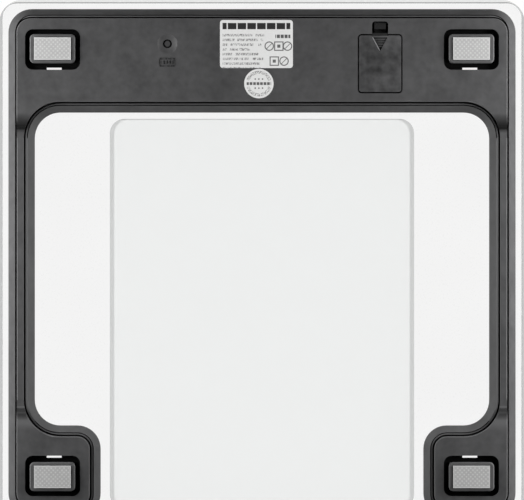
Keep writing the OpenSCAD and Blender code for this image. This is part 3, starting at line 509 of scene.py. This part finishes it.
def gaugeFilm(corner):
    name = "gauge_" + corner
    f = Finish(name, gauge["film"], gauge["roughness"])
    x, y, z = f.along()
    inX, inY = f.inFrom(name)
    share = (y.wave(gauge["pitch"]) > 0) * (inX > gauge["margin"]) * (inY > gauge["margin"])
    f.feed("Base Color", f.blend(share, f.colour, (*gauge["foil"], 1)))
    f.feed("Metallic", share)
    f.bump(share, gauge["depth"])
    dress(f, name)


for c in corners:
    gaugeFilm(c)

# Zebra strips: thin conductive layers between clear silicone
zebra = {
    "dark": (0.03, 0.03, 0.035), "pale": (0.5, 0.52, 0.56), "roughness": 0.5,
    "pitch": 0.0004, "grain": 0.0005, "depth": 0.1,
}


def zebraRubber():
    f = Finish("zebra", zebra["pale"], zebra["roughness"])
    x, y, z = f.along()
    f.feed("Base Color", f.blend(x.wave(zebra["pitch"]) > 0, f.colour, (*zebra["dark"], 1)))
    f.bump(f.cloud(zebra["grain"], 2), zebra["depth"])
    return f


dress(zebraRubber(), "zebra_front", "zebra_rear")

# Circuit board: green resist over copper tracks, with tinned pads
board = {
    "resist": (0.018, 0.115, 0.045), "copper": (0.035, 0.19, 0.07), "tin": (0.6, 0.6, 0.58),
    "roughness": 0.28, "pitch": 0.0026, "track": (0.55, 0.75), "waver": (0.03, 0.03),
    "zone": 0.012, "zones": (0.48, 0.52), "spotPitch": 0.005, "spot": (0.09, 0.11), "depth": 0.15,
}


# tracks run across in some zones and along in others, with a bare strip between
def boardFinish():
    f = Finish("board", board["resist"], board["roughness"])
    x, y, z = f.along()
    waver = f.cloud(board["waver"][0], 0) * board["waver"][1]
    across, along = [(v + waver).wave(board["pitch"]).ramp(*board["track"]) for v in (y, x)]
    zone = f.cloud(board["zone"], 0)
    track = across * (zone > board["zones"][1]) + along * (zone < board["zones"][0])
    cells = {"Vector": f.place(), "Scale": 1 / board["spotPitch"]}
    spot = 1 - f.add("ShaderNodeTexVoronoi", {}, cells, "Distance").ramp(*board["spot"])
    green = f.blend(track, f.colour, (*board["copper"], 1))
    f.feed("Base Color", f.blend(spot, green, (*board["tin"], 1)))
    f.feed("Metallic", spot)
    f.bump(track.most(spot), board["depth"])
    return f


dress(boardFinish(), "circuit_board")

# Display: grey-green glass, switched off, with the faint unlit segments of four digits
lcd = {
    "colour": (0.3, 0.335, 0.27), "roughness": 0.16, "ghost": 0.93, "digitW": 0.0098, "digitH": 0.0175,
    "stroke": 0.0016, "pitch": 0.0132, "lean": 0.08, "mitre": 1.4, "places": (-1.5, -0.5, 0.5, 1.5),
    "cloud": 0.02, "tones": (0.98, 1.03), "grain": 0.0004, "depth": 0.02,
}


def displayFinish():
    f = Finish("display", lcd["colour"], lcd["roughness"])
    low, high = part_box("display_glass")
    middle = (low + high) / 2
    x, y, z = f.along()
    v = y - middle.y
    u = x - middle.x - v * lcd["lean"]
    halfW, halfH, half = lcd["digitW"] / 2, lcd["digitH"] / 2, lcd["stroke"] / 2
    mitre = half * lcd["mitre"]
    digits = []
    for i in lcd["places"]:
        d = (u - i * lcd["pitch"]).size()
        inside = ((d - halfW - half) < 0) * ((v.size() - halfH - half) < 0)
        upright = ((d - halfW).size() < half) * (v.size() > mitre)
        level = ((v.size() - halfH).size().least(v.size()) < half) * ((d - halfW + mitre) < 0)
        digits.append(upright.most(level) * inside)
    ground = f.blend(f.cloud(lcd["cloud"], 2).ramp(*contrast), *[f.tone(amount) for amount in lcd["tones"]])
    f.feed("Base Color", f.blend(anyOf(digits), ground, f.tone(lcd["ghost"])))
    f.bump(f.cloud(lcd["grain"], 1), lcd["depth"])
    return f


dress(displayFinish(), "display_glass")
print("electronics done")

# Stickers: coated paper printed with bars, greeked lines, rings and dots, and no words
sticker = {
    "paper": (0.66, 0.66, 0.655), "ink": (0.02, 0.02, 0.02), "speck": 0.0012, "tones": (0.97, 1.03),
    "roughness": (0.36, 0.1), "depth": 0.05,
}
label = {
    "margin": 0.0015, "heading": (0.0017, 0.0053), "block": (0.0056, -0.93),
    "firstRow": 0.0080, "rowPitch": 0.00272, "rows": 8, "rowHeight": 0.0014,
    "rowEnd": (0.0165, 0.0255), "letters": (2200, 3.7, 900), "letterContrast": (0.4, 0.6),
    "words": (330, 5.3), "wordGap": 0.36, "textInk": 0.75,
    "signs": ((0.0283, 0.0150), (0.0338, 0.0150), (0.0388, 0.0150), (0.0312, 0.0236), (0.0368, 0.0236)),
    "signSize": 0.0024, "signLine": 0.0003, "signCore": 0.0009, "signInk": 0.85,
    "short": (0.0318, 0.0084, 0.0104), "shortBlock": (0.0022, -0.8), "shortInk": 0.9,
}
seal = {
    "ring": (0.0056, 0.0074), "letters": (9, 1500), "letterContrast": (0.42, 0.6), "opening": 0.3,
    "bar": (0.0070, 0.0008), "block": (0.002, -0.75), "dotRow": 0.0026, "dotPitch": 0.0021,
    "dotSize": 0.00045, "ringInk": 0.7, "ink": 0.9,
}


def stickerPaper(name, ink):
    f, share = ink
    grain = f.cloud(sticker["speck"], 2)
    speck = grain.ramp(*contrast)
    paper = f.blend(speck, *[f.tone(amount) for amount in sticker["tones"]])
    least, spread = sticker["roughness"]
    f.feed("Base Color", f.blend(share, paper, (*sticker["ink"], 1)))
    f.feed("Roughness", speck * spread + least)
    f.bump(grain, sticker["depth"])
    dress(f, name)


# a row of blocks along a length, with a gap in each pitch
def blocks(length, pitch, floor):
    return length.wave(pitch) > floor


# a crossed ring, or a square with a dot in it, in turn
def signInk(u, v, crossed):
    ring, square = radius(u, v), u.size().most(v.size())
    if crossed:
        core = ((u + v).size() < label["signLine"]) * (ring < label["signSize"])
        return ((ring - label["signSize"]).size() < label["signLine"]).most(core)
    return ((square - label["signSize"]).size() < label["signLine"]).most(square < label["signCore"])


def labelInk():
    f = Finish("label", sticker["paper"], sticker["roughness"][0])
    low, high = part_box("rating_label")
    x, y, z = f.along()
    u, v = high.x - x, high.y - y  # from the upper left corner as it is read
    right = high.x - low.x - label["margin"]
    inside = (u > label["margin"]) * (u < right)
    heading = (v > label["heading"][0]) * (v < label["heading"][1]) * inside * blocks(u, *label["block"])
    row = (v - label["firstRow"]) / label["rowPitch"]
    index = row.maths("FLOOR", row)
    inRow = ((row - index) < label["rowHeight"] / label["rowPitch"]) * (row > 0) * (row < label["rows"])
    scaleU, scaleRow, scaleV = label["letters"]
    letters = f.noiseAt(1.0, u * scaleU, index * scaleRow, v * scaleV)
    wordU, wordRow = label["words"]
    words = f.noiseAt(0.0, u * wordU, index * wordRow) > label["wordGap"]
    first, last = label["rowEnd"]
    ragged = f.add("ShaderNodeTexWhiteNoise", {"noise_dimensions": "1D"}, {"W": index + 0.5}, "Value")
    inLine = inRow * inside * (u < ragged * (last - first) + first)
    text = inLine * letters.ramp(*label["letterContrast"]) * words
    signs = anyOf([signInk(u - su, v - sv, i % 2 == 0) for i, (su, sv) in enumerate(label["signs"])])
    start, upper, lower = label["short"]
    short = (v > upper) * (v < lower) * (u > start) * (u < right) * blocks(u, *label["shortBlock"])
    return f, anyOf([heading, text * label["textInk"], signs * label["signInk"], short * label["shortInk"]])


def sealInk():
    f = Finish("seal", sticker["paper"], sticker["roughness"][0])
    low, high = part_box("seal_sticker")
    middle = (low + high) / 2
    x, y, z = f.along()
    u, v = x - middle.x, y - middle.y
    r = radius(u, v)
    turn = f.add("ShaderNodeMath", {"operation": "ARCTAN2"}, {0: v, 1: u})
    scaleTurn, scaleR = seal["letters"]
    letters = f.noiseAt(1.0, turn * scaleTurn, r * scaleR).ramp(*seal["letterContrast"])
    closed = (turn.size() > seal["opening"]) * (turn.size() < math.pi - seal["opening"])
    ring = (r > seal["ring"][0]) * (r < seal["ring"][1]) * letters * closed
    bar = (v.size() < seal["bar"][1]) * (u.size() < seal["bar"][0]) * blocks(u, *seal["block"])
    fromRow = v.size() - seal["dotRow"]
    dots = anyOf([radius(u - i * seal["dotPitch"], fromRow) < seal["dotSize"] for i in (-1, 0, 1)])
    return f, anyOf([ring * seal["ringInk"], bar * seal["ink"], dots * seal["ink"]])


stickerPaper("rating_label", labelInk())
stickerPaper("seal_sticker", sealInk())
print("stickers done")

# Stage: a floor seen only from above, and a sheet of paper behind the glass seen only from below
stage = {
    "floorSide": 8.0, "floorDrop": 0.00015, "floorColour": 0.86, "roughness": 0.9,
    "paperSide": 0.3036, "paperRound": 0.014, "roundSegments": 12, "paperGap": 0.0004,
    "paperColour": 0.1, "paperGlow": 0.325, "paperEdgeShadow": 0.92, "edgeShadowWidth": 0.002,
}


def sheetMaterial(name, colour, glow):
    glowing = {"Emission_Color": (1, 1, 1, 1), "Emission_Strength": glow}
    f = Finish(name, (colour, colour, colour), stage["roughness"], **glowing)
    clear = f.add("ShaderNodeBsdfTransparent", {}, {})
    back = f.add("ShaderNodeNewGeometry", {}, {}, "Backfacing")
    shader = Wire(f, f.shader.outputs[0])
    mixed = f.add("ShaderNodeMixShader", {}, {0: back, 1: shader, 2: clear})
    f.join(f.tree.nodes["Material Output"].inputs["Surface"], mixed)
    return f


def sheetPlane(name, side, height, finish, facing):
    bpy.ops.object.select_all(action="DESELECT")
    bpy.ops.mesh.primitive_plane_add(size=side, location=(0, 0, height))
    plane = bpy.context.object
    plane.name = name
    bpy.ops.object.mode_set(mode="EDIT")
    bpy.ops.mesh.select_all(action="SELECT")
    if facing < 0:
        bpy.ops.mesh.flip_normals()
        bpy.ops.mesh.bevel(offset=stage["paperRound"], segments=stage["roundSegments"], affect="VERTICES")
    bpy.ops.object.mode_set(mode="OBJECT")
    finish.wear(plane)
    plane.visible_shadow = False
    plane.visible_diffuse = False
    plane.visible_glossy = False


floorSheet = sheetMaterial("floor", stage["floorColour"], 0.0)
sheetPlane("floor", stage["floorSide"], -stage["floorDrop"], floorSheet, 1)
# a painted shadow makes the paper a little greyer beyond the glass's edge
paperSheet = sheetMaterial("paper", stage["paperColour"], stage["paperGlow"])
x, y, z = paperSheet.along()
beside = x.size().most(y.size()) > cadBox[1].x - stage["edgeShadowWidth"]
edgeShadowTone = (stage["paperEdgeShadow"],) * 3 + (1,)
paperSheet.feed("Emission Color", paperSheet.blend(beside, (1, 1, 1, 1), edgeShadowTone))
paperSheet.feed("Base Color", paperSheet.blend(beside, paperSheet.colour, paperSheet.tone(stage["paperEdgeShadow"])))
sheetPlane("paper", stage["paperSide"], cadBox[1].z + stage["paperGap"], paperSheet, -1)

# Lamps: two banks at the sides and two lower ones for the plastic and one above for the floor, none of which
# lights the white faces and the glass, and even washes for the white faces and the floor
lamps = {
    "left": {"place": (0.37, 0.08, -0.18), "size": (0.4, 0.2), "power": 2.3},
    "right": {"place": (-0.37, 0.08, -0.18), "size": (0.4, 0.2), "power": 2.3},
    "lowLeft": {"place": (0.4, 0.02, -0.014), "size": (0.5, 0.02), "power": 1.0},
    "lowRight": {"place": (-0.4, 0.02, -0.014), "size": (0.5, 0.02), "power": 1.0},
    "above": {"place": (-0.5, -0.6, 1.5), "size": (1.4, 1.4), "power": 14},
}
washes = {
    "printWash": {"power": 4.2, "tilt": 42.0, "lean": 180.0, "spread": 4.0, "shadow": False},
    "windowWash": {"power": 15.0, "tilt": 20.0, "lean": 182.5, "spread": 8.0, "shadow": True},
    "floorWash": {"power": 1.3, "tilt": 15.0, "lean": 0.0, "spread": 40.0, "shadow": True},
}
# the middle of the part, which the lamps point at
aim = Vector((0, 0, 0.012))


def lampObject(name, data):
    lamp = bpy.data.objects.new(name, data)
    bpy.context.scene.collection.objects.link(lamp)
    return lamp


# a lamp leaves out the given pieces, and a wash lights them alone
def linkTo(lamp, pieces, state):
    group = bpy.data.collections.new(lamp.name + "Pieces")
    for piece in pieces:
        group.objects.link(piece)
    lamp.light_linking.receiver_collection = group
    for link in group.collection_objects:
        link.light_linking.link_state = state


washed = {
    "printWash": nodes["back_print"],
    "windowWash": bpy.data.objects["paper"],
    "floorWash": bpy.data.objects["floor"],
}
unlit = [nodes["back_print"], bpy.data.objects["paper"], nodes["glass_platform"]]
for name, v in lamps.items():
    data = bpy.data.lights.new(name, "AREA")
    data.shape = "RECTANGLE"
    data.size, data.size_y = v["size"]
    data.energy = v["power"]
    lamp = lampObject(name, data)
    lamp.location = v["place"]
    lamp.visible_camera = False
    lamp.visible_transmission = False
    lamp.rotation_mode = "QUATERNION"
    lamp.rotation_quaternion = (aim - lamp.location).to_track_quat("-Z", "Y")
    linkTo(lamp, unlit, "EXCLUDE")
for name, v in washes.items():
    for side in (-1, 1):
        data = bpy.data.lights.new(name, "SUN")
        data.energy = v["power"] / 2
        data.angle = math.radians(v["spread"])
        data.use_shadow = v["shadow"]
        lamp = lampObject(name, data)
        lamp.rotation_euler = (math.radians(v["lean"]), math.radians(side * v["tilt"]), 0)
        linkTo(lamp, [washed[name]], "INCLUDE")

# World: white for the camera, a little less for light that reaches the print through the glass, brighter
# overhead than below in gloss, and an even light for the rest
sky = {"shade": 0.06, "throughGlass": 0.75, "low": 0.06, "lowHeight": 0.5, "highHeight": 0.9}
world = bpy.data.worlds.new("studio")
bpy.context.scene.world = world
world.use_nodes = True


class Sky(Finish):
    def __init__(self):
        self.tree = world.node_tree
        self.shader = self.tree.nodes["Background"]


s = Sky()
path = s.add("ShaderNodeLightPath", {}, {}).socket.node.outputs
rays = ("Is Camera Ray", "Is Glossy Ray", "Is Transmission Ray")
cameraRay, glossyRay, clearRay = [Wire(s, path[n]) for n in rays]
scattered = Wire(s, path["Diffuse Depth"]) > 0.5
direction = s.add("ShaderNodeTexCoord", {}, {}, "Generated")
height = s.along(direction)[2]
gloss = height.ramp(sky["lowHeight"], sky["highHeight"]) * (1 - sky["low"]) + sky["low"]
seen = cameraRay.most(clearRay * (1 - scattered * (1 - sky["throughGlass"])))
plain = (1 - seen.most(glossyRay)) * sky["shade"]
s.feed("Color", (1, 1, 1, 1))
s.feed("Strength", seen + (1 - seen) * glossyRay * gloss + plain)
print("stage and lamps done")

# Camera: square on to the underside, from far off, so the edges stay parallel
camera = {"x": 0.0, "y": 0.0073, "distance": 4.0, "focus": 0.018, "width": 0.3018, "sensor": 36.0, "far": 50}
cameraData = bpy.data.cameras.new("camera")
cameraData.sensor_width = camera["sensor"]
cameraData.lens = camera["sensor"] * (camera["distance"] + camera["focus"]) / camera["width"]
cameraData.clip_end = camera["far"]
cameraObject = bpy.data.objects.new("camera", cameraData)
bpy.context.scene.collection.objects.link(cameraObject)
cameraObject.location = (camera["x"], camera["y"], -camera["distance"])
cameraObject.rotation_euler = (0, math.pi, 0)
bpy.context.scene.camera = cameraObject

bpy.context.scene.view_settings.view_transform = "Standard"
